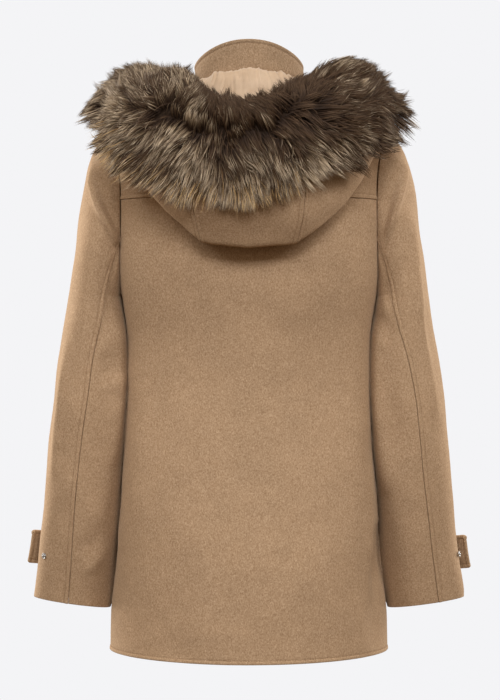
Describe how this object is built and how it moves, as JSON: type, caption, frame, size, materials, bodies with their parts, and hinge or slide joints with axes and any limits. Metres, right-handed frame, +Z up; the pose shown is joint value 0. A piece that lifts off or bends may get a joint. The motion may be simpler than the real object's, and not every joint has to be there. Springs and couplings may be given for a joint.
{
  "type": "parka",
  "caption": "Hooded wool parka, filled out as worn, with a stand collar, long sleeves with cuff tabs and a fur-trimmed hood lying down the back.",
  "frame": {"origin": "on the wearer's shoulders, midway between the two neck points of the shoulder line, where the coat hangs", "axes": "+Z up, +Y towards the wearer's front, +X towards the wearer's right"},
  "size_m": [0.64, 0.3624, 0.8645],
  "materials": {
    "camel_wool": "felted melton with a short nap, matte",
    "apricot_satin": "smooth lining with a soft sheen",
    "brown_fur": "long fake fur, dark at the roots and silver at the tips",
    "nickel": "bright nickel plate"
  },
  "bodies": {
    "root": {"back": "camel_wool", "back_yoke": "camel_wool", "front_left": "camel_wool", "front_right": "camel_wool", "sleeve_top_left": "camel_wool", "sleeve_top_right": "camel_wool", "sleeve_under_left": "camel_wool", "sleeve_under_right": "camel_wool", "collar": "camel_wool", "hood_centre": "camel_wool", "hood_side_left": "camel_wool", "hood_side_right": "camel_wool", "hood_lining": "apricot_satin", "fur_trim": "brown_fur", "cuff_tab_left": "camel_wool", "cuff_tab_right": "camel_wool", "press_stud_left": "nickel", "press_stud_right": "nickel"}
  },
  "joints": []
}
